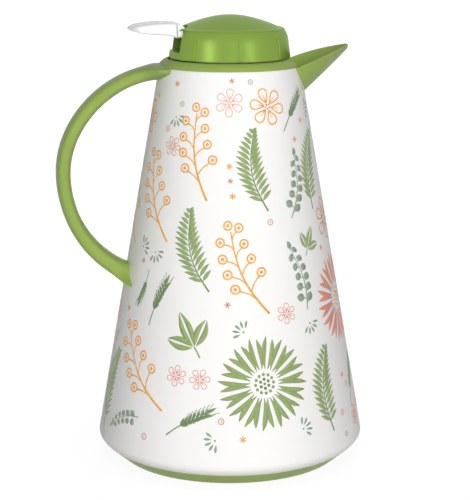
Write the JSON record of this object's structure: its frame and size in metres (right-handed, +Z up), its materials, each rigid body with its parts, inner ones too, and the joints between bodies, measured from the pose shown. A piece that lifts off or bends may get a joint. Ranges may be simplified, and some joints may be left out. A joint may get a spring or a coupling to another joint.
{
  "type": "vacuum jug",
  "caption": "Conical glass-lined vacuum jug with a ring handle, a beak spout and a round screw stopper that pours when its thumb lever is pressed.",
  "frame": {"origin": "on the jug's axis, at the surface it stands on", "axes": "+Z up along the jug's axis, +X towards the spout, -X towards the handle and the lever"},
  "size_m": [0.1986, 0.1732, 0.2871],
  "materials": {
    "shell_white": "gloss",
    "green_plastic": "satin",
    "lid_green": "satin",
    "lever_white": "gloss",
    "natural_plastic": "matte",
    "silvered_glass": "polished",
    "silicone": "matte",
    "steel": "satin"
  },
  "bodies": {
    "jug": {"outer_shell": "shell_white", "base_cap": "green_plastic", "base_cushion": "silicone", "liner_outer": "silvered_glass", "liner_inner": "silvered_glass", "liner_pads": "natural_plastic", "neck_seal": "silicone", "collar": "green_plastic", "handle": "green_plastic", "handle_screws": "steel"},
    "stopper_seal": {"stopper_gasket": "silicone"},
    "stopper": {"lid_body": "lid_green", "lid_cap": "lid_green", "stopper_plug": "natural_plastic", "plug_screws": "steel", "stem_seal": "silicone", "lever_pin": "steel"},
    "lever": {"lever": "lever_white"},
    "valve": {"valve_plunger": "natural_plastic", "valve_seal": "silicone", "spring_cap": "natural_plastic", "return_spring": "steel"}
  },
  "joints": [
    {"name": "stopper_rise", "type": "slide", "parent": "jug", "child": "stopper_seal", "axis": [0, 0, 1], "range_m": [0, 0.01]},
    {"name": "stopper_turn", "type": "hinge", "parent": "stopper_seal", "child": "stopper", "pos_m": [0, 0, 0.25], "axis": [0, 0, 1], "range_deg": [0, 450]},
    {"name": "lever_press", "type": "hinge", "parent": "stopper", "child": "lever", "pos_m": [0.022, 0, 0.273], "axis": [0, -1, 0], "range_deg": [0, 8], "stiffness_Nm_per_rad": 2},
    {"name": "valve_slide", "type": "slide", "parent": "stopper", "child": "valve", "axis": [0, 0, -1], "range_m": [0, 0.00307], "deforming": ["return_spring"]}
  ],
  "couplings": [
    {"joint": "stopper_turn", "follows": "stopper_rise", "rad_per_m": 785.39},
    {"joint": "lever_press", "follows": "valve_slide", "rad_per_m": 45.45}
  ]
}
